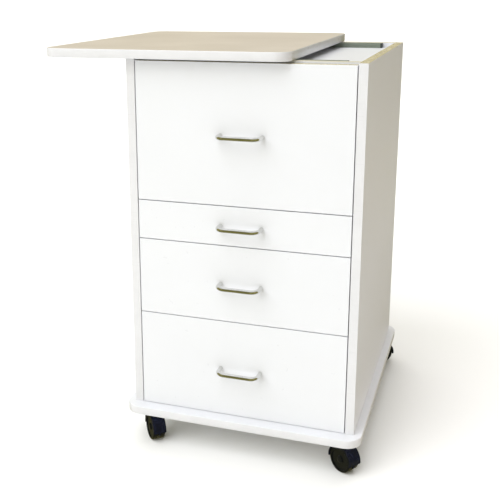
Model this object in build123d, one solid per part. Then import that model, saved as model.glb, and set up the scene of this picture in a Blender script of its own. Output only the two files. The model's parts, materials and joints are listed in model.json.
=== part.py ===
from build123d import *
import os

# Spa trolley cart: a white laminated-board cabinet on four swivelling twin-wheel casters, with four
# inset drawers and a work top that slides sideways on two T-tracks.
# Millimetres, +Z up, drawer fronts face -Y. The origin is on the floor, below the middle of the
# cart's outer box as it stands with its top slid open to the left.

# ---- driving dimensions ----
board = 16.0                 # thickness of the laminated board
cabinet_width = 429.0        # across the outer faces of the side panels
cabinet_depth = 508.0        # drawer fronts to back panel
cabinet_height = 668.0       # height of the side panels
side_overhang = 14.0         # base board and top board beyond the side panels
front_overhang = 25.0        # base board and top board beyond the drawer fronts and the back
corner_radius = 30.0         # rounded corners of the base board and the top board
edge_round = 1.0             # softened rim of the base and top boards
front_round = 0.6            # softened rim of the side panels and drawer fronts
back_thickness = 6.0

caster_height = 63.0         # floor to underside of the base board
top_gap = 1.2                # side panels to underside of the sliding top
top_open_shift = 141.0       # how far the open top stands to the left
slide_clearance = 0.5        # runner ends to end caps

deck_recess = 10.0           # inner deck below the top of the side panels
rail_setback = 2.0           # front rail behind the drawer fronts
rail_height = 30.0           # front and rear top rails
track_length = 342.0
track_width = 19.0
track_height = 9.5
track_slot = 7.0
track_cavity = (13.0, 4.8)   # width and height of the T-shaped channel
track_floor = 2.0
track_groove = (0.8, 2.4)    # depth and height of the groove along each flank
track_groove_height = 4.0    # foot of the track to the groove's middle
track_margin = 0.5           # between each track and the rail beside it
track_screw_reach = 130.0    # outer track screws from the middle one
end_cap = 3.0
runner_neck = 6.2
runner_bar = (12.2, 3.8)
runner_lift = 0.5            # runner bar above the channel's floor
runner_screw_spread = 0.4    # outer runner screws from the middle one, in runner lengths

reveal = 1.6                 # gap round each drawer front
front_top_drop = 3.4         # top drawer front below the side panels' top
drawer_lines = [0.0, 189.8, 336.2, 410.4]    # where each drawer opening starts, deep drawer first
box_heights = [140.0, 100.0, 44.0, 190.0]    # drawer boxes, in the same order
drawer_names = ["drawer_4", "drawer_3", "drawer_2", "drawer_1"]
box_lift = 12.0              # drawer box above the lower edge of its front
box_wall = 12.0
box_floor = 6.0
box_depth = 450.0

slide_room = 12.7            # between side panel and drawer box
slide_height = 35.0
slide_length = 450.0
slide_sheet = 1.2
slide_play = 0.5             # between the two members' flanges
slide_side_gap = 0.8         # inner member's flanges to the outer member's web
slide_lip_gap = 2.0          # outer member's flanges to the drawer box
slide_setback = 2.0          # slides behind the front rail's face
slide_lift = 2.0             # slides above the drawer box's lower edge

pull_centres = 76.2          # hole spacing of the bow pulls
pull_rod = 8.0
pull_reach = 28.0            # front to centre of the grip
pull_bend = 14.0
pull_screw_length = 26.0
pull_screw_radius = 2.0
pull_screw_head = (4.0, 2.4)     # radius and height
pull_hole_slack = 0.3
screw_head_ratio = 2.1       # countersunk head radius, in shank radii
screw_cone_ratio = 1.1       # countersunk head height, in shank radii
screw_slack = 0.05

wheel_radius = 25.0
wheel_width = 10.0
web_thickness = 4.0
web_foot = 9.0               # web below the axle
wheel_side_gap = 0.5
axle_radius = 3.0
trail = 14.0                 # axle behind the swivel axis
hood_gap = 1.0
hood_sheet = 2.2
socket_radius = 11.0
kingpin_radius = 4.0
kingpin_grip = 4.0           # kingpin's reach into the housing
plate_gap = 1.0              # swivelling socket to the fixed plate
plate_corner = 4.0
running_fit = 0.05
plate_size = 42.0
plate_thickness = 2.5
plate_screw_inset = 6.0
stem_x = 186.0               # swivel axes from the cabinet's centre plane
stem_inset = 18.0            # swivel axes behind the drawer fronts and before the back
caster_turn = {"front_left": 40.0, "front_right": 55.0, "rear_left": 30.0, "rear_right": 120.0}

# ---- worked out from the above ----
base_bottom = caster_height
base_top = base_bottom + board
side_top = base_top + cabinet_height
top_bottom = side_top + top_gap
deck_top = side_top - deck_recess
inner_half = cabinet_width / 2 - board
board_width = cabinet_width + 2 * side_overhang
board_depth = cabinet_depth + 2 * front_overhang
cabinet_mid = cabinet_depth / 2
back_front = cabinet_depth - back_thickness
front_rail_y = board + rail_setback
rear_rail_y = back_front - board
front_track_y = front_rail_y + board + track_margin + track_width / 2
rear_track_y = rear_rail_y - track_margin - track_width / 2
runner_foot = deck_top + track_floor + runner_lift
kingpin_bottom = 2 * wheel_radius + hood_gap + hood_sheet - kingpin_grip
runner_length = track_length - top_open_shift - 2 * slide_clearance
runner_x = -track_length / 2 + slide_clearance + runner_length / 2

# the outer box runs from the open top's left edge to the base board's right edge, and from the
# pulls to the rear overhang
shift_x = top_open_shift / 2
shift_y = (pull_reach + pull_rod / 2 - cabinet_depth - front_overhang) / 2


def block(x0, x1, y0, y1, z0, z1):
    """A box between two opposite corners."""
    size = (x1 - x0, y1 - y0, z1 - z0)
    return Pos((x0 + x1) / 2, (y0 + y1) / 2, (z0 + z1) / 2) * Box(*size)


def drill(x, y, z0, z1, radius):
    """An upright cylinder from z0 to z1."""
    return Pos(x, y, (z0 + z1) / 2) * Cylinder(radius, z1 - z0)


def wood_screw(x, y, z_head, length, radius, up):
    """A countersunk screw with its head's face at z_head, pointing up or down."""
    head_height = screw_cone_ratio * radius
    head = Pos(0, 0, head_height / 2) * Cone(screw_head_ratio * radius, radius, head_height)
    shank = Pos(0, 0, length / 2) * Cylinder(radius, length)
    socket = Pos(0, 0, 0.4) * Box(1.4 * radius, 0.5, 0.8) + Pos(0, 0, 0.4) * Box(0.5, 1.4 * radius, 0.8)
    screw = head + shank - socket
    return Pos(x, y, z_head) * (screw if up else Rot(180, 0, 0) * screw)


def screw_hole(x, y, z_head, length, radius, up):
    """The bore and countersink that such a screw sits in."""
    head_height = screw_cone_ratio * radius
    bore = radius + screw_slack
    rim = screw_head_ratio * radius + screw_slack
    head = Pos(0, 0, head_height / 2) * Cone(rim, bore, head_height)
    shank = Pos(0, 0, length / 2) * Cylinder(bore, length + 2 * screw_slack)
    hole = head + shank
    return Pos(x, y, z_head) * (hole if up else Rot(180, 0, 0) * hole)


def rounded_board(x_mid, z0):
    """The outline shared by the base board and the sliding top."""
    with BuildPart() as slab:
        with BuildSketch(Plane.XY.offset(z0)):
            with Locations((x_mid, cabinet_mid)):
                RectangleRounded(board_width, board_depth, corner_radius)
        extrude(amount=board)
        rims = slab.faces().sort_by(Axis.Z)
        fillet(rims[0].edges() + rims[-1].edges(), edge_round)
    return slab.part


def save(shape, node):
    """Writes one sub-part in the part's own frame."""
    export_step(Pos(shift_x, shift_y, 0) * shape, f"parts/{node}.step")


def joined(pieces):
    """Separate identical solids kept together as one sub-part."""
    return Compound(list(pieces))


# ---- cabinet ----
caster_spots = {
    "front_left": (-stem_x, stem_inset),
    "front_right": (stem_x, stem_inset),
    "rear_left": (-stem_x, cabinet_depth - stem_inset),
    "rear_right": (stem_x, cabinet_depth - stem_inset),
}


def plate_screw_spots():
    """The four screws of each caster plate."""
    reach = plate_size / 2 - plate_screw_inset
    for x, y in caster_spots.values():
        for sx in (-1, 1):
            for sy in (-1, 1):
                yield x + sx * reach, y + sy * reach


def side_panel(side):
    """A side panel, banded edges softened, raw top edge left square."""
    x0, x1 = sorted((side * inner_half, side * cabinet_width / 2))
    panel = block(x0, x1, 0, cabinet_depth, base_top, side_top)
    front_edges = panel.edges().filter_by(Axis.Z).group_by(Axis.Y)[0]
    return fillet(front_edges, front_round)


def track_screw_spots():
    """Three screws along each track."""
    for y in (front_track_y, rear_track_y):
        for i in (-1, 0, 1):
            yield i * track_screw_reach, y


track_screw = dict(z_head=deck_top + track_floor, length=16.0, radius=1.7, up=False)
plate_screw = dict(z_head=base_bottom - plate_thickness, length=14.0, radius=1.8, up=True)
runner_screw = dict(z_head=runner_foot, length=18.0, radius=1.6, up=True)


def runner_screw_spots():
    """Three screws along each runner."""
    for y in (front_track_y, rear_track_y):
        for i in (-1, 0, 1):
            yield runner_x + i * runner_screw_spread * runner_length, y


def track():
    """A T-track lying along X, its slot upward, centred on its foot."""
    cavity_width, cavity_height = track_cavity
    length = track_length
    body = Pos(0, 0, track_height / 2) * Box(length, track_width, track_height)
    cavity = Pos(0, 0, track_floor + cavity_height / 2) * Box(length, cavity_width, cavity_height)
    slot = Pos(0, 0, track_height) * Box(length, track_slot, track_height)
    groove_depth, groove_height = track_groove
    groove = Box(length, 2 * groove_depth, groove_height)
    for s in (-1, 1):
        body -= Pos(0, s * track_width / 2, track_groove_height) * groove
    return body - cavity - slot


def runner():
    """The T-shaped bar under the sliding top, centred on the middle of its foot."""
    bar_width, bar_height = runner_bar
    neck_top = top_bottom - runner_foot
    bar = Pos(0, 0, bar_height / 2) * Box(runner_length, bar_width, bar_height)
    neck = Pos(0, 0, neck_top / 2) * Box(runner_length, runner_neck, neck_top)
    return bar + neck


os.makedirs("parts", exist_ok=True)

save(side_panel(-1), "left_side_panel")
save(side_panel(1), "right_side_panel")
save(block(-inner_half, inner_half, back_front, cabinet_depth, base_top, side_top), "back_panel")
rail_bottom = side_top - rail_height
save(block(-inner_half, inner_half, front_rail_y, front_rail_y + board, rail_bottom, side_top),
     "front_top_rail")
save(block(-inner_half, inner_half, rear_rail_y, back_front, rail_bottom, side_top), "rear_top_rail")

deck = block(-inner_half, inner_half, front_rail_y + board, rear_rail_y, deck_top - board, deck_top)
for x, y in track_screw_spots():
    deck -= screw_hole(x, y, **track_screw)
save(deck, "inner_deck")

base = rounded_board(0, base_bottom)
for x, y in plate_screw_spots():
    base -= screw_hole(x, y, **plate_screw)
save(base, "base_board")

for node, y in (("front_track", front_track_y), ("rear_track", rear_track_y)):
    rail = Pos(0, y, deck_top) * track()
    for x, screw_y in track_screw_spots():
        rail -= screw_hole(x, screw_y, **track_screw)
    save(rail, node)
save(joined(wood_screw(x, y, **track_screw) for x, y in track_screw_spots()), "track_screws")

cap_x = track_length / 2 + end_cap / 2
caps = []
for y in (front_track_y, rear_track_y):
    for sx in (-1, 1):
        cap = Box(end_cap, track_width, track_height)
        caps.append(Pos(sx * cap_x, y, deck_top + track_height / 2) * cap)
save(joined(caps), "track_end_caps")

# ---- sliding top, open to the left ----
top = rounded_board(-top_open_shift, top_bottom)
for x, y in runner_screw_spots():
    top -= screw_hole(x, y, **runner_screw)
save(top, "sliding_top")

runners = []
for y in (front_track_y, rear_track_y):
    bar = Pos(runner_x, y, runner_foot) * runner()
    for x, screw_y in runner_screw_spots():
        bar -= screw_hole(x, screw_y, **runner_screw)
    runners.append(bar)
save(joined(runners), "top_runners")
save(joined(wood_screw(x, y, **runner_screw) for x, y in runner_screw_spots()), "runner_screws")


# ---- drawers ----
box_half = inner_half - slide_room


def channel(height, x_web, x_lip, z_mid):
    """A C-shaped steel channel along Y, its web at x_web and its flanges reaching x_lip."""
    y0 = front_rail_y + slide_setback
    y1 = y0 + slide_length
    toward = 1 if x_lip > x_web else -1
    x_sheet = x_web + toward * slide_sheet
    shape = block(*sorted((x_web, x_sheet)), y0, y1, z_mid - height / 2, z_mid + height / 2)
    for s in (-1, 1):
        z_outer = z_mid + s * height / 2
        z_inner = z_outer - s * slide_sheet
        shape += block(*sorted((x_web, x_lip)), y0, y1, *sorted((z_inner, z_outer)))
    return shape


def cabinet_channel(side, z_mid):
    """The outer member of a drawer slide, on the side panel."""
    return channel(slide_height, side * inner_half, side * (box_half + slide_lip_gap), z_mid)


def drawer_channel(side, z_mid):
    """The inner member of a drawer slide, on the drawer box."""
    height = slide_height - 2 * (slide_sheet + slide_play)
    lip = side * (inner_half - slide_sheet - slide_side_gap)
    return channel(height, side * box_half, lip, z_mid)


def pull_holes(z_mid):
    """The two clearance holes through a drawer front."""
    for s in (-1, 1):
        bore = Cylinder(pull_screw_radius + pull_hole_slack, 2 * board, rotation=(90, 0, 0))
        yield Pos(s * pull_centres / 2, board / 2, z_mid) * bore


def pull(z_mid):
    """A bow pull bent from round rod, tapped at both feet."""
    half = pull_centres / 2
    corners = [(-half, 0), (-half, -pull_reach), (half, -pull_reach), (half, 0)]
    path = FilletPolyline(*[(x, y, z_mid) for x, y in corners], radius=pull_bend)
    start = Plane(origin=(-half, 0, z_mid), z_dir=(0, -1, 0))
    rod = sweep(start * Circle(pull_rod / 2), path=path)
    depth = pull_screw_length - board + 1.0
    for s in (-1, 1):
        bore = Cylinder(pull_screw_radius + running_fit, depth, rotation=(90, 0, 0))
        rod -= Pos(s * half, -depth / 2, z_mid) * bore
    return rod


def pull_screw(x, z_mid):
    """A pan-head machine screw through the drawer front into a pull's foot."""
    shank = Cylinder(pull_screw_radius, pull_screw_length, rotation=(90, 0, 0))
    head_radius, head_height = pull_screw_head
    head = Cylinder(head_radius, head_height, rotation=(90, 0, 0))
    shank_y = board - pull_screw_length / 2
    return Pos(x, shank_y, z_mid) * shank + Pos(x, board + head_height / 2, z_mid) * head


cabinet_channels = []
opening_tops = drawer_lines[1:] + [cabinet_height - front_top_drop + reveal / 2]
for node, z_line, z_next, box_height in zip(drawer_names, drawer_lines, opening_tops, box_heights):
    z0 = base_top + z_line + reveal / 2
    z1 = base_top + z_next - reveal / 2
    z_mid = (z0 + z1) / 2
    box0 = z0 + box_lift
    box1 = box0 + box_height
    y1 = board + box_depth
    front_half = inner_half - reveal

    front = block(-front_half, front_half, 0, board, z0, z1)
    front = fillet(front.faces().sort_by(Axis.Y)[0].edges(), front_round)
    for hole in pull_holes(z_mid):
        front -= hole
    save(front, f"{node}_front")

    walls = [block(*sorted((s * box_half, s * (box_half - box_wall))), board, y1, box0, box1)
             for s in (-1, 1)]
    save(joined(walls), f"{node}_sides")
    inner = box_half - box_wall
    save(block(-inner, inner, y1 - box_wall, y1, box0, box1), f"{node}_back")
    save(block(-inner, inner, board, y1 - box_wall, box0, box0 + box_floor), f"{node}_bottom")

    save(pull(z_mid), f"{node}_pull")
    screws = [pull_screw(s * pull_centres / 2, z_mid) for s in (-1, 1)]
    save(joined(screws), f"{node}_pull_screws")

    slide_z = box0 + slide_lift + slide_height / 2
    save(joined(drawer_channel(s, slide_z) for s in (-1, 1)), f"{node}_slides")
    cabinet_channels += [cabinet_channel(s, slide_z) for s in (-1, 1)]
save(joined(cabinet_channels), "cabinet_slides")


# ---- casters, each drawn with its swivel axis on Z and its axle along X ----
def caster_plate():
    """The square fixing plate with its kingpin."""
    z_mid = base_bottom - plate_thickness / 2
    plate = Pos(0, 0, z_mid) * Box(plate_size, plate_size, plate_thickness)
    plate = fillet(plate.edges().filter_by(Axis.Z), plate_corner)
    return plate + drill(0, 0, kingpin_bottom, base_bottom - plate_thickness, kingpin_radius)


def hood():
    """The swivelling housing: a shell over both wheels, a web between them and a swivel socket."""
    half_width = web_thickness / 2 + wheel_side_gap + wheel_width + 0.5
    outer = wheel_radius + hood_gap + hood_sheet
    inner = wheel_radius + hood_gap
    ring = Cylinder(outer, 2 * half_width, rotation=(0, 90, 0))
    ring -= Cylinder(inner, 2 * half_width + 2.0, rotation=(0, 90, 0))
    below = Pos(0, 0, -outer) * Box(3 * outer, 3 * outer, 2 * outer - 2 * axle_radius)
    web = Cylinder(inner + 1.0, web_thickness, rotation=(0, 90, 0))
    web -= Pos(0, 0, -inner) * Box(3 * outer, 3 * outer, 2 * (inner - web_foot))
    shell = Pos(0, -trail, wheel_radius) * (ring - below + web)
    socket_top = base_bottom - plate_thickness - plate_gap
    socket = drill(0, 0, 1.5 * wheel_radius, socket_top, socket_radius)
    wheel_room = Pos(0, -trail, wheel_radius) * Cylinder(inner, 2 * half_width, rotation=(0, 90, 0))
    wheel_room -= Box(web_thickness, 4 * outer, 6 * outer)
    body = shell + (socket - wheel_room)
    body -= Pos(0, -trail, wheel_radius) * Cylinder(axle_radius + running_fit, 20, rotation=(0, 90, 0))
    return body - drill(0, 0, kingpin_bottom - 1.0, base_bottom, kingpin_radius + running_fit)


def wheels():
    """Both wheels: rounded treads, a dished outer face and a raised hub."""
    pair = []
    for s in (-1, 1):
        tyre = Cylinder(wheel_radius, wheel_width, rotation=(0, 90, 0))
        tyre = fillet(tyre.edges(), 2.0)
        dish = Cylinder(wheel_radius - 5.0, 1.6, rotation=(0, 90, 0))
        dish -= Cylinder(7.0, 1.6, rotation=(0, 90, 0))
        tyre -= Pos(s * (wheel_width / 2 - 0.8), 0, 0) * dish
        tyre -= Cylinder(axle_radius + 0.02, wheel_width + 2.0, rotation=(0, 90, 0))
        x = s * (web_thickness / 2 + wheel_side_gap + wheel_width / 2)
        pair.append(Pos(x, -trail, wheel_radius) * tyre)
    return joined(pair)


def axle():
    """The steel pin through both wheels and the web."""
    length = web_thickness + 2 * wheel_side_gap + 2 * wheel_width - 2.0
    return Pos(0, -trail, wheel_radius) * Cylinder(axle_radius, length, rotation=(0, 90, 0))


plate = caster_plate()
reach = plate_size / 2 - plate_screw_inset
for sx in (-1, 1):
    for sy in (-1, 1):
        plate -= screw_hole(sx * reach, sy * reach, **plate_screw)
for corner, (x, y) in caster_spots.items():
    turned = Pos(x, y, 0) * Rot(0, 0, caster_turn[corner])
    save(Pos(x, y, 0) * plate, f"caster_plate_{corner}")
    save(turned * hood(), f"caster_hood_{corner}")
    save(turned * axle(), f"caster_axle_{corner}")
    save(turned * wheels(), f"caster_wheels_{corner}")
save(joined(wood_screw(x, y, **plate_screw) for x, y in plate_screw_spots()), "caster_screws")
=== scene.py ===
import bpy
import bmesh
import json
from fnmatch import fnmatchcase
from math import cos, pi, radians, sin
from mathutils import Matrix, Vector


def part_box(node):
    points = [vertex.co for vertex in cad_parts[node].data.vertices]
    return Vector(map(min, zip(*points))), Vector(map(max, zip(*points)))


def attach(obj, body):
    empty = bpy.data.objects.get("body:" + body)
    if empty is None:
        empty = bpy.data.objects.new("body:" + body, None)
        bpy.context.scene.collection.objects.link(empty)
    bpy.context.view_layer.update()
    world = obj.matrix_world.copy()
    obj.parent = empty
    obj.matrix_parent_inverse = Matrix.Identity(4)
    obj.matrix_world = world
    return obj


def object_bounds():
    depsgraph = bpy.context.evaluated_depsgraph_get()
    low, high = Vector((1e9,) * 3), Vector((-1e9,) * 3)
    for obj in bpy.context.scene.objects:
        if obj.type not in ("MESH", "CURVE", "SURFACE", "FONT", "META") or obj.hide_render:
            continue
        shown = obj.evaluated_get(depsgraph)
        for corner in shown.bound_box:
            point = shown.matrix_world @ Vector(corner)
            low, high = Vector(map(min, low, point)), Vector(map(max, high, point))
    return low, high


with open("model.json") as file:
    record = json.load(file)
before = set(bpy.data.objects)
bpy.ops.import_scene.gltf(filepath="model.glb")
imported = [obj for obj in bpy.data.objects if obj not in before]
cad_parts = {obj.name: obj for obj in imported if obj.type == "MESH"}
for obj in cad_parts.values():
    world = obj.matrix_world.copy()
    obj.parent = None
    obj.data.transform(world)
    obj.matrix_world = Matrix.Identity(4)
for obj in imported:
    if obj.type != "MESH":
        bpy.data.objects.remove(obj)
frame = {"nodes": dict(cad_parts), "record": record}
cad_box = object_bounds()
MM = 0.001
CORNERS = ("front_left", "front_right", "rear_left", "rear_right")
DRAWERS = ("drawer_1", "drawer_2", "drawer_3", "drawer_4")


# ---- shader helpers ----
class Nodes:
    """Short calls for the procedural nodes of one node tree. Its textures lie in one space."""

    def __init__(self, tree, space):
        self.tree = tree
        self.coords = tree.nodes.new("ShaderNodeTexCoord")
        self.where = self.coords.outputs[space]

    def link(self, a, b):
        self.tree.links.new(a, b)

    def place(self, stretch):
        """The texture's coordinates, scaled along each axis."""
        node = self.tree.nodes.new("ShaderNodeMapping")
        node.inputs["Scale"].default_value = stretch
        self.link(self.where, node.inputs["Vector"])
        return node.outputs["Vector"]

    def noise(self, scale, detail=4.0, roughness=0.5, stretch=(1, 1, 1), distortion=0.0):
        node = self.tree.nodes.new("ShaderNodeTexNoise")
        node.inputs["Scale"].default_value = scale
        node.inputs["Detail"].default_value = detail
        node.inputs["Roughness"].default_value = roughness
        node.inputs["Distortion"].default_value = distortion
        self.link(self.place(stretch), node.inputs["Vector"])
        return node.outputs["Fac"]

    def chips(self, scale, stretch):
        """A random grey for each cell of a cellular pattern."""
        node = self.tree.nodes.new("ShaderNodeTexVoronoi")
        node.inputs["Scale"].default_value = scale
        self.link(self.place(stretch), node.inputs["Vector"])
        grey = self.tree.nodes.new("ShaderNodeSeparateColor")
        self.link(node.outputs["Color"], grey.inputs["Color"])
        return grey.outputs["Red"]

    def ramp(self, value, *stops):
        """Colours (or greys) spread over a value: stops are (position, colour)."""
        node = self.tree.nodes.new("ShaderNodeValToRGB")
        elements = node.color_ramp.elements
        while len(elements) < len(stops):
            elements.new(0.5)
        for element, (position, colour) in zip(elements, stops):
            element.position = position
            grey = isinstance(colour, float)
            element.color = (colour, colour, colour, 1) if grey else (*colour, 1)
        self.link(value, node.inputs["Fac"])
        return node.outputs["Color"]

    def fade(self, value, start, end):
        """0 up to start, 1 from end on, and even in between."""
        node = self.tree.nodes.new("ShaderNodeMapRange")
        node.inputs["From Min"].default_value = start
        node.inputs["From Max"].default_value = end
        self.link(value, node.inputs["Value"])
        return node.outputs["Result"]

    def math(self, operation, *values):
        node = self.tree.nodes.new("ShaderNodeMath")
        node.operation = operation
        for value, socket in zip(values, node.inputs):
            if isinstance(value, (int, float)):
                socket.default_value = value
            else:
                self.link(value, socket)
        return node.outputs[0]

    def mix(self, factor, a, b):
        node = self.tree.nodes.new("ShaderNodeMix")
        node.data_type = "RGBA"
        self.link(factor, node.inputs["Factor"])
        for value, socket in ((a, node.inputs["A"]), (b, node.inputs["B"])):
            if isinstance(value, tuple):
                socket.default_value = (*value, 1)
            else:
                self.link(value, socket)
        return node.outputs["Result"]

    def part(self, vector, axis):
        """One coordinate of a vector."""
        node = self.tree.nodes.new("ShaderNodeSeparateXYZ")
        self.link(vector, node.inputs["Vector"])
        return node.outputs["XYZ".index(axis)]


class Shader(Nodes):
    """A Principled material in object coordinates (metres)."""

    def __init__(self, name, roughness, metallic=0.0, coat=0.0, coat_roughness=0.1, specular=0.5):
        self.material = bpy.data.materials.new(name)
        self.material.use_nodes = True
        super().__init__(self.material.node_tree, "Object")
        self.bsdf = self.tree.nodes["Principled BSDF"]
        self.bsdf.inputs["Roughness"].default_value = roughness
        self.bsdf.inputs["Metallic"].default_value = metallic
        self.bsdf.inputs["Coat Weight"].default_value = coat
        self.bsdf.inputs["Coat Roughness"].default_value = coat_roughness
        self.bsdf.inputs["Specular IOR Level"].default_value = specular

    def facing(self, direction):
        """1 where the surface faces that way, such as '+Z', and 0 elsewhere."""
        sign, axis = direction
        along = self.part(self.coords.outputs["Normal"], axis)
        signed = self.math("MULTIPLY", along, 1.0 if sign == "+" else -1.0)
        return self.math("GREATER_THAN", signed, 0.8)

    def colour(self, value):
        self.link(value, self.bsdf.inputs["Base Color"])

    def rough(self, value):
        self.link(value, self.bsdf.inputs["Roughness"])

    def bump(self, height, strength, distance):
        """Relief from a height, over a distance in metres."""
        node = self.tree.nodes.new("ShaderNodeBump")
        node.inputs["Strength"].default_value = strength
        node.inputs["Distance"].default_value = distance
        self.link(height, node.inputs["Height"])
        self.link(node.outputs["Normal"], self.bsdf.inputs["Normal"])


# ---- materials ----
WHITE = (0.752, 0.762, 0.808)
WHITE_DIM = (0.743, 0.753, 0.799)
BEIGE = ((0.50, 0.44, 0.38), (0.585, 0.52, 0.46))
CREAM = ((0.60, 0.55, 0.42), (0.70, 0.65, 0.53))
SAWN_ROUGHNESS = 0.85


def particle_board(shader):
    """Pressed chips and fines, as on a sawn edge: returns (colour, height)."""
    chips = shader.chips(420, (1, 1, 1.6))
    fines = shader.noise(900, 6, 0.7)
    blend = shader.math("MULTIPLY_ADD", chips, 0.65, fines)
    colour = shader.ramp(blend, (0.35, (0.12, 0.09, 0.045)), (0.62, (0.33, 0.28, 0.16)),
                         (0.85, (0.45, 0.40, 0.25)), (1.0, (0.55, 0.50, 0.34)))
    return colour, blend


def melamine(name, raw=(), upper_face=None, roughness=0.34):
    """White melamine paper on particle board: a faint mottle and a fine pearl texture.
    raw lists the directions whose faces are sawn board. upper_face is the darkest and the lightest
    tint of the faces that look up, where they aren't white."""
    shader = Shader(name, roughness, coat=0.12, coat_roughness=0.25)
    mottle = shader.noise(5, 2)
    pearl = shader.noise(1500, 2)
    colour = shader.ramp(mottle, (0.2, WHITE_DIM), (0.8, WHITE))
    height = pearl
    if upper_face is not None:
        flecks = shader.math("MULTIPLY", shader.noise(520, 3, 0.65), 0.4)
        cloud = shader.math("MULTIPLY_ADD", shader.noise(7, 3), 0.6, flecks)
        tinted = shader.ramp(cloud, (0.35, upper_face[0]), (0.65, upper_face[1]))
        colour = shader.mix(shader.facing("+Z"), colour, tinted)
    if raw:
        board_colour, board_height = particle_board(shader)
        mask = shader.facing(raw[0])
        for direction in raw[1:]:
            mask = shader.math("MAXIMUM", mask, shader.facing(direction))
        colour = shader.mix(mask, colour, board_colour)
        height = shader.mix(mask, pearl, board_height)
        shader.rough(shader.mix(mask, (roughness,) * 3, (SAWN_ROUGHNESS,) * 3))
    else:
        sheen = shader.noise(90, 3)
        shader.rough(shader.ramp(sheen, (0.2, roughness - 0.01), (0.8, roughness + 0.02)))
    shader.colour(colour)
    shader.bump(height, 0.10, 0.00015)
    return shader.material


def edge_band():
    """The extruded plastic band ironed onto the boards' edges: fine lengthwise drawn lines."""
    shader = Shader("edge_band", 0.3, coat=0.2, coat_roughness=0.2)
    lines = shader.noise(260, 3, 0.6, (0.05, 0.05, 4))
    tone = shader.noise(30, 3)
    shader.colour(shader.ramp(tone, (0.3, (0.68, 0.68, 0.715)), (0.7, (0.715, 0.715, 0.75))))
    shader.rough(shader.ramp(lines, (0.3, 0.26), (0.7, 0.38)))
    shader.bump(lines, 0.12, 0.0001)
    return shader.material


def chrome():
    """Polished chrome with faint hairlines, and a haze where fingers touch."""
    shader = Shader("polished_chrome", 0.07, metallic=1.0)
    haze = shader.noise(60, 5, 0.6)
    hairs = shader.noise(700, 2, 0.6, (0.05, 1, 1))
    shader.colour(shader.ramp(haze, (0.3, (0.66, 0.66, 0.65)), (0.7, (0.74, 0.74, 0.73))))
    shader.rough(shader.ramp(haze, (0.35, 0.05), (0.75, 0.12)))
    shader.bump(hairs, 0.02, 0.00005)
    return shader.material


def zinc(name, tone, scale):
    """Bright zinc plating with its cloudy crystals."""
    shader = Shader(name, 0.32, metallic=0.55)
    cloud = shader.noise(scale, 5, 0.65)
    dull = (tone * 0.86, tone * 0.88, tone * 0.9)
    shader.colour(shader.ramp(cloud, (0.3, dull), (0.7, (tone, tone, tone))))
    shader.rough(shader.ramp(cloud, (0.3, 0.26), (0.7, 0.42)))
    shader.bump(shader.noise(900, 2), 0.05, 0.0001)
    return shader.material


def painted_shade_aluminium():
    """Satin aluminium with extrusion lines along X. Its dark grey-green tone is painted shade, as of a track
    lying in shadow.
    """
    shader = Shader("track_aluminium_painted_shade", 0.4, metallic=0.9)
    lines = shader.noise(900, 3, 0.6, (0.01, 1, 1))
    # Painted shade: these dark grey-green tones stand in for the shadow over the track, in place of bright
    # aluminium grey.
    shader.colour(shader.ramp(lines, (0.3, (0.28, 0.33, 0.29)), (0.7, (0.38, 0.43, 0.38))))
    shader.rough(shader.ramp(lines, (0.3, 0.34), (0.7, 0.48)))
    shader.bump(lines, 0.15, 0.0001)
    return shader.material


def black_plastic(name, low, high, roughness, grain):
    """Moulded black plastic: fine spark texture, with faint scuffs that catch the light."""
    shader = Shader(name, roughness, specular=0.2)
    spark = shader.noise(grain, 3, 0.6)
    scuff = shader.noise(45, 6, 0.7, distortion=0.6)
    shader.colour(shader.ramp(scuff, (0.35, low), (0.75, high)))
    shader.rough(shader.ramp(scuff, (0.3, roughness - 0.06), (0.8, roughness + 0.12)))
    shader.bump(spark, 0.18, 0.00012)
    return shader.material


panel_laminate = melamine("panel_melamine", raw=("+Z", "-Z"))
front_laminate = melamine("drawer_front_melamine", roughness=0.28)
top_front_laminate = melamine("top_drawer_front_melamine", raw=("+Z",), roughness=0.28)
plain_laminate = melamine("plain_melamine")
rail_laminate = melamine("rail_melamine", raw=("-Z",), upper_face=CREAM)
top_laminate = melamine("top_melamine", upper_face=BEIGE, roughness=0.42)
box_laminate = melamine("drawer_box_melamine", raw=("-Z",), roughness=0.4)
band = edge_band()
pull_chrome = chrome()
screw_zinc = zinc("screw_zinc", 0.62, 300)
slide_zinc = zinc("slide_zinc", 0.60, 90)
plate_zinc = zinc("plate_zinc", 0.56, 140)
axle_steel = zinc("axle_steel", 0.64, 400)
track_metal = painted_shade_aluminium()
runner_nylon = black_plastic("runner_nylon", (0.045, 0.045, 0.045), (0.07, 0.07, 0.07), 0.5, 800)
cap_black = black_plastic("end_cap_plastic", (0.025, 0.032, 0.030), (0.05, 0.06, 0.056), 0.45, 1200)
# The housings' navy tint is a painted blue sheen on near-black plastic.
hood_black_painted_sheen = black_plastic("caster_housing", (0.003, 0.004, 0.012), (0.007, 0.010, 0.032), 0.24, 900)
wheel_black = black_plastic("caster_wheel", (0.004, 0.005, 0.006), (0.010, 0.011, 0.013), 0.34, 1400)

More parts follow.
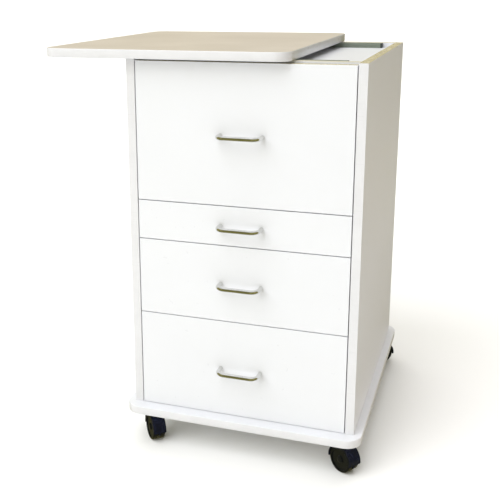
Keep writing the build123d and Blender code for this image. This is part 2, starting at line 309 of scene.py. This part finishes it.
# The first pattern that fits a CAD node's name gives its material.
NODE_FINISHES = (
    ("sliding_top", top_laminate),
    ("*_side_panel", panel_laminate),
    ("back_panel", panel_laminate),
    ("*_top_rail", rail_laminate),
    ("drawer_1_front", top_front_laminate),
    ("drawer_?_front", front_laminate),
    ("drawer_?_sides", box_laminate),
    ("drawer_?_back", box_laminate),
    ("drawer_?_bottom", box_laminate),
    ("*_pull", pull_chrome),
    ("*screws", screw_zinc),
    ("*slides", slide_zinc),
    ("*_track", track_metal),
    ("track_end_caps", cap_black),
    ("top_runners", runner_nylon),
    ("caster_hood_*", hood_black_painted_sheen),
    ("caster_wheels_*", wheel_black),
    ("caster_axle_*", axle_steel),
    ("caster_plate_*", plate_zinc),
    ("inner_deck", plain_laminate),
    ("base_board", plain_laminate),
)
for node, obj in frame["nodes"].items():
    obj.data.materials.clear()
    obj.data.materials.append(next(finish for pattern, finish in NODE_FINISHES if fnmatchcase(node, pattern)))

# The added pieces' materials, each with the record's slot that it belongs to.
BAND_FINISH = (band, "white_laminate")
SCREW_FINISH = (screw_zinc, "zinc_screw")
PLATE_FINISH = (plate_zinc, "plate_zinc")
HOOD_FINISH = (hood_black_painted_sheen, "caster_black")
WHEEL_FINISH = (wheel_black, "wheel_black")


# ---- mesh helpers ----
def mesh_from(name, bm, material):
    """Turns a bmesh into a mesh with one material."""
    mesh = bpy.data.meshes.new(name)
    bm.to_mesh(mesh)
    bm.free()
    mesh.materials.append(material)
    return mesh


def add_object(name, data):
    obj = bpy.data.objects.new(name, data)
    bpy.context.scene.collection.objects.link(obj)
    return obj


def add_piece(name, bm, finish, body, bevel, smooth=True):
    """Turns a bmesh into a piece that rides on a body: finish is (material, the record's slot), and the slot
    is not used.
    """
    material, slot = finish
    bmesh.ops.recalc_face_normals(bm, faces=bm.faces)
    mesh = mesh_from(name, bm, material)
    for polygon in mesh.polygons:
        polygon.use_smooth = smooth
    obj = add_object(name, mesh)
    modifier = obj.modifiers.new("bevel", "BEVEL")
    modifier.width = bevel
    modifier.segments = 2
    modifier.limit_method = "ANGLE"
    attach(obj, body)


def rounded_outline(lo, hi, radius, steps=12):
    """Points round a rectangle with rounded corners."""
    points = []
    centres = ((hi.x - radius, hi.y - radius), (lo.x + radius, hi.y - radius),
               (lo.x + radius, lo.y + radius), (hi.x - radius, lo.y + radius))
    for quarter, (x, y) in enumerate(centres):
        for step in range(steps + 1):
            a = pi / 2 * (quarter + step / steps)
            points.append(Vector((x + radius * cos(a), y + radius * sin(a), 0)))
    return points


def slab(bm, lo, hi):
    """Adds a box between two corners to a bmesh."""
    size = Vector(hi) - Vector(lo)
    middle = (Vector(hi) + Vector(lo)) / 2
    bmesh.ops.create_cube(bm, size=1.0, matrix=Matrix.Translation(middle) @ Matrix.Diagonal((*size, 1)))


def lathe(bm, profile_mm, matrix, steps, closed=False):
    """Turns a profile of (radius, height) about the matrix's Z axis, as a solid that starts and
    ends on the axis, or as a closed ring."""
    profile = profile_mm + profile_mm[:1] if closed else profile_mm
    rings = []
    for radius, height in profile:
        if radius == 0:
            rings.append([bm.verts.new(matrix @ Vector((0, 0, height * MM)))])
            continue
        turn = [2 * pi * i / steps for i in range(steps)]
        points = [Vector((radius * MM * cos(a), radius * MM * sin(a), height * MM)) for a in turn]
        rings.append([bm.verts.new(matrix @ point) for point in points])
    for a, b in zip(rings, rings[1:]):
        for i in range(steps):
            j = (i + 1) % steps
            corners = [a[i % len(a)], a[j % len(a)], b[j % len(b)], b[i % len(b)]]
            unique = list(dict.fromkeys(corners))
            if len(unique) > 2:
                bm.faces.new(unique)


# ---- edge bands ----
BAND_PROUD = 0.25 * MM       # how far the bands stand out from the boards' edges
BAND_SIDE = 0.3 * MM         # from a panel's faces to its band's sides
EDGE_ROUND = 1.0 * MM        # rounding of the two large boards' edges
BOARD_CORNER = 30 * MM       # corner radius of the two large boards


def ring_band(name, node, body):
    """An edge band round a board with rounded corners."""
    lo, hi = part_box(node)
    grow = Vector((BAND_PROUD, BAND_PROUD, 0))
    outer = rounded_outline(lo - grow, hi + grow, BOARD_CORNER + BAND_PROUD)
    inner = rounded_outline(lo + grow, hi - grow, BOARD_CORNER - BAND_PROUD)
    bottom, top = lo.z + EDGE_ROUND, hi.z - EDGE_ROUND
    bm = bmesh.new()
    loops = []
    for outline, z in ((outer, bottom), (outer, top), (inner, top), (inner, bottom)):
        loops.append([bm.verts.new((p.x, p.y, z)) for p in outline])
    count = len(outer)
    for a, b in zip(loops, loops[1:] + loops[:1]):
        for i in range(count):
            j = (i + 1) % count
            bm.faces.new((a[i], a[j], b[j], b[i]))
    add_piece(name, bm, BAND_FINISH, body, bevel=0.12 * MM)


ring_band("top_edge_band", "sliding_top", "sliding_top")
ring_band("base_edge_band", "base_board", "cabinet")
for side in ("left", "right"):
    lo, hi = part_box(f"{side}_side_panel")
    bm = bmesh.new()
    slab(bm, (lo.x + BAND_SIDE, lo.y - BAND_PROUD, lo.z), (hi.x - BAND_SIDE, lo.y + BAND_PROUD, hi.z))
    add_piece(f"{side}_panel_band", bm, BAND_FINISH, "cabinet", bevel=0.1 * MM, smooth=False)


# ---- casters ----
RECORD_JOINTS = {joint["name"]: joint for joint in frame["record"]["behaviour"]["joints"]}
WHEEL_HALF = 12.5 * MM       # middle of the web to the wheels' outer faces
HOOD_RADIUS = 28.2 * MM
HOOD_HALF = 13.0 * MM        # half the housing's width
HOOD_START, HOOD_END = -4, 184    # degrees about the axle that the housing's crown spans
RIB_SUNK = 0.8 * MM          # how deep a rib goes into the housing
SEAM_HALF, SEAM_PROUD = 0.5 * MM, 0.3 * MM
RIM_HALF, RIM_PROUD = 0.9 * MM, 0.45 * MM
PLATE_THICKNESS = 2.5 * MM
# Profiles in mm: (radius, height over the wheel's outer face or the plate's underside).
HUB_CAP = ((0, 1.1), (2.4, 1.05), (4.6, 0.75), (5.9, 0.35), (6.4, -0.1), (6.4, -1.0), (0, -1.0))
DISH_LIP = ((20.4, -0.6), (20.4, 0.1), (20.8, 0.35), (21.4, 0.35), (21.8, 0.1), (21.8, -0.6))
WASHER = ((4.6, -0.75), (9.4, -0.75), (10.2, -0.5), (10.2, 0.0), (4.6, 0.0))


def axle_frame(corner):
    """A frame at the middle of a caster's axle: Z along the axle, Y up."""
    joint = RECORD_JOINTS[f"caster_{corner}_roll"]
    along = Vector(joint["axis"]).normalized()
    up = Vector((0, 0, 1))
    turn = Matrix((up.cross(along), up, along)).transposed().to_4x4()
    return Matrix.Translation(Vector(joint["pos_m"])) @ turn


def wheel_trim(corner):
    """A domed hub cap and a fine lip round the dish on the outer face of each wheel."""
    bm = bmesh.new()
    for side, turn in ((-1, pi), (1, 0)):
        offset = Matrix.Translation((0, 0, side * WHEEL_HALF)) @ Matrix.Rotation(turn, 4, "X")
        face = axle_frame(corner) @ offset
        lathe(bm, HUB_CAP, face, 48)
        lathe(bm, DISH_LIP, face, 96, closed=True)
    add_piece(f"wheel_trim_{corner}", bm, WHEEL_FINISH, f"wheels_{corner}", bevel=0.1 * MM)


def hood_rib(bm, place, middle, half_width, proud, steps=40):
    """A curved rib over the housing's crown."""
    inner, outer = HOOD_RADIUS - RIB_SUNK, HOOD_RADIUS + proud
    section = ((inner, middle - half_width), (outer, middle - half_width),
               (outer, middle + half_width), (inner, middle + half_width))
    rings = []
    for i in range(steps + 1):
        a = radians(HOOD_START + (HOOD_END - HOOD_START) * i / steps)
        points = [Vector((radius * cos(a), radius * sin(a), z)) for radius, z in section]
        rings.append([bm.verts.new(place @ point) for point in points])
    for a, b in zip(rings, rings[1:]):
        for k in range(4):
            bm.faces.new((a[k], a[(k + 1) % 4], b[(k + 1) % 4], b[k]))
    bm.faces.new(rings[0])
    bm.faces.new(rings[-1])


def hood_trim(corner):
    """The mould seam over the housing's crown and the rolled rims along its two sides."""
    place = axle_frame(corner)
    bm = bmesh.new()
    hood_rib(bm, place, 0, SEAM_HALF, SEAM_PROUD)
    hood_rib(bm, place, HOOD_HALF - RIM_HALF, RIM_HALF, RIM_PROUD)
    hood_rib(bm, place, RIM_HALF - HOOD_HALF, RIM_HALF, RIM_PROUD)
    add_piece(f"hood_trim_{corner}", bm, HOOD_FINISH, f"swivel_{corner}", bevel=0.25 * MM)


def swivel_washer(corner):
    """The bearing washer between a caster's plate and its housing."""
    x, y, _ = RECORD_JOINTS[f"caster_{corner}_swivel"]["pos_m"]
    _, plate_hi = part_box(f"caster_plate_{corner}")
    bm = bmesh.new()
    lathe(bm, WASHER, Matrix.Translation((x, y, plate_hi.z - PLATE_THICKNESS)), 64, closed=True)
    add_piece(f"swivel_washer_{corner}", bm, PLATE_FINISH, "cabinet", bevel=0.08 * MM)


for corner in CORNERS:
    wheel_trim(corner)
    hood_trim(corner)
    swivel_washer(corner)


# ---- fasteners that only show from behind or with a drawer open ----
SLIDE_SHEET = 1.2 * MM       # steel of the slide members
SCREW_SHARES = (0.08, 0.5, 0.92)    # where the screws sit along a slide member
SCREW_HEAD = (3.4, 1.9)      # radius and height in mm
BRAD_HEAD = (2.8, 1.1)
BRAD_ROWS, BRAD_COLUMNS = 8, 4
BRAD_INSET = 9 * MM
BRAD_TOP_INSET = 15 * MM
# A domed head with a recess for the driver: shares of its radius and of its height.
PAN_HEAD = ((0, 0.62), (0.16, 0.62), (0.30, 0.97), (0.62, 0.88), (0.88, 0.55), (1, 0.1), (1, -0.2),
            (0, -0.2))


def pan_heads(name, places, body, head):
    """Screw heads: places are (point, direction the head faces)."""
    profile = [(share * head[0], rise * head[1]) for share, rise in PAN_HEAD]
    bm = bmesh.new()
    for point, facing in places:
        turn = Vector(facing).to_track_quat("Z", "Y").to_matrix().to_4x4()
        lathe(bm, profile, Matrix.Translation(Vector(point)) @ turn, 28)
    add_piece(name, bm, SCREW_FINISH, body, bevel=0.06 * MM)


def slide_screws(drawer):
    """Three pan-head screws through each inner slide member into the drawer box."""
    lo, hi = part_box(f"{drawer}_slides")
    middle = (lo.z + hi.z) / 2
    box_lo, box_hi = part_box(f"{drawer}_sides")
    places = []
    for x, outward in ((box_lo.x - SLIDE_SHEET, -1), (box_hi.x + SLIDE_SHEET, 1)):
        places += [((x, lo.y + share * (hi.y - lo.y), middle), (outward, 0, 0)) for share in SCREW_SHARES]
    pan_heads(f"{drawer}_slide_screws", places, drawer, SCREW_HEAD)


def back_screws():
    """Small screws round the edge of the back panel."""
    lo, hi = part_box("back_panel")
    points = []
    for i in range(BRAD_ROWS):
        z = lo.z + (i + 0.5) / BRAD_ROWS * (hi.z - lo.z)
        points += [(x, hi.y, z) for x in (lo.x + BRAD_INSET, hi.x - BRAD_INSET)]
    for i in range(1, BRAD_COLUMNS + 1):
        x = lo.x + i / (BRAD_COLUMNS + 1) * (hi.x - lo.x)
        points += [(x, hi.y, z) for z in (lo.z + BRAD_INSET, hi.z - BRAD_TOP_INSET)]
    pan_heads("back_panel_screws", [(point, (0, 1, 0)) for point in points], "cabinet", BRAD_HEAD)


for drawer in DRAWERS:
    slide_screws(drawer)
back_screws()


# ---- lights, floor, camera ----
FLOOR_RADIUS = 60
ROOM_DARK = (0.150, 0.142, 0.048)
ROOM_LIGHT = (0.46, 0.42, 0.17)
SKY = (0.85, 0.86, 0.88)


def sun(name, toward, strength, spread, colour, mirrored):
    """A distant soft light that shines along toward, and may or may not show in polished metal."""
    data = bpy.data.lights.new(name, "SUN")
    data.energy = strength
    data.angle = radians(spread)
    data.color = colour
    obj = add_object(name, data)
    obj.rotation_euler = Vector(toward).to_track_quat("-Z", "Y").to_euler()
    obj.visible_glossy = mirrored


def area_light(name, place, aim, size, watts, colour):
    """A soft rectangle of light, itself out of sight."""
    data = bpy.data.lights.new(name, "AREA")
    data.shape = "RECTANGLE"
    data.size, data.size_y = size
    data.energy = watts
    data.color = colour
    obj = add_object(name, data)
    obj.visible_camera = False
    obj.visible_glossy = False
    obj.location = place
    obj.rotation_euler = (Vector(aim) - Vector(place)).to_track_quat("-Z", "Y").to_euler()


def matt(name, roughness, scale, dark, light):
    """A dull stage surface with a faint mottle."""
    shader = Shader(name, roughness, specular=0.1)
    shader.colour(shader.ramp(shader.noise(scale, 3), (0.3, dark), (0.7, light)))
    return shader.material


def floor(centre):
    bm = bmesh.new()
    bmesh.ops.create_circle(bm, cap_ends=True, segments=96, radius=FLOOR_RADIUS,
                            matrix=Matrix.Translation(centre))
    paint = matt("studio_floor", 0.9, 0.8, (0.89, 0.89, 0.89), (0.91, 0.91, 0.91))
    obj = add_object("floor", mesh_from("floor", bm, paint))
    obj.visible_glossy = False


def shade_card(name, x, y_span, z_span):
    """A dark felt board beside the cart, out of sight, that takes light away from its right side."""
    bm = bmesh.new()
    corners = ((y_span[0], z_span[0]), (y_span[1], z_span[0]), (y_span[1], z_span[1]), (y_span[0], z_span[1]))
    bm.faces.new([bm.verts.new((x, y, z)) for y, z in corners])
    felt = matt("shade_card_felt", 0.95, 3, (0.10, 0.078, 0.060), (0.13, 0.10, 0.08))
    obj = add_object(name, mesh_from(name, bm, felt))
    obj.visible_camera = False
    obj.visible_shadow = False
    obj.visible_glossy = False


def surroundings():
    """White to look at, and for light and reflections a dim warm room: pale above, olive at eye
    level and below, with soft blotches as of furniture."""
    world = bpy.data.worlds.new("studio")
    bpy.context.scene.world = world
    world.use_nodes = True
    nodes = Nodes(world.node_tree, "Generated")
    room = nodes.ramp(nodes.noise(2.2, 3.0), (0.40, ROOM_DARK), (0.62, ROOM_LIGHT))
    height = nodes.fade(nodes.part(nodes.where, "Z"), 0.50, 0.90)
    lit = nodes.mix(height, room, SKY)
    seen = nodes.tree.nodes.new("ShaderNodeLightPath").outputs["Is Camera Ray"]
    shown = nodes.mix(seen, lit, (1.0, 1.0, 1.0))
    nodes.link(shown, nodes.tree.nodes["Background"].inputs["Color"])


def studio():
    """A pale floor and soft light from the front left, with the right side in half shade."""
    lo, hi = cad_box
    middle = (lo + hi) / 2
    floor((middle.x, middle.y, lo.z))
    shade_card("right_shade", hi.x + 0.9, (lo.y - 0.5, hi.y + 0.6), (0.35, 1.7))
    sun("key", toward=(0.42, 0.80, -0.85), strength=2.58, spread=60, colour=(0.965, 0.978, 1.0),
        mirrored=False)
    sun("overhead", toward=(0.1, -0.5, -1.0), strength=1.15, spread=70, colour=(1.0, 0.985, 0.985),
        mirrored=True)
    area_light("low_fill", place=(lo.x + 2.0, middle.y - 0.1, 0.2), aim=(hi.x, middle.y, 0.1),
               size=(1.0, 0.3), watts=3.4, colour=(1.0, 0.82, 0.78))
    surroundings()
    bpy.context.scene.view_settings.view_transform = "Standard"


def camera():
    """The photographer's place, given from the foot of the drawer fronts' middle."""
    panel_lo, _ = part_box("left_side_panel")
    _, panel_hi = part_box("right_side_panel")
    foot = Vector(((panel_lo.x + panel_hi.x) / 2, panel_lo.y, panel_lo.z))
    data = bpy.data.cameras.new("camera")
    data.sensor_width = 36.0
    data.lens = 60.21
    data.shift_x = 0.0986
    data.shift_y = -0.10
    obj = add_object("camera", data)
    obj.location = foot + Vector((0.4090, -1.3734, 0.7949))
    yaw, pitch, roll = 0.3390, 0.2531, -0.0091
    ahead = Vector((-sin(yaw) * cos(pitch), cos(yaw) * cos(pitch), -sin(pitch)))
    obj.rotation_mode = "QUATERNION"
    upright = ahead.to_track_quat("-Z", "Y").to_matrix()
    obj.rotation_quaternion = (upright @ Matrix.Rotation(roll, 3, "Z")).to_quaternion()
    bpy.context.scene.camera = obj


studio()
camera()
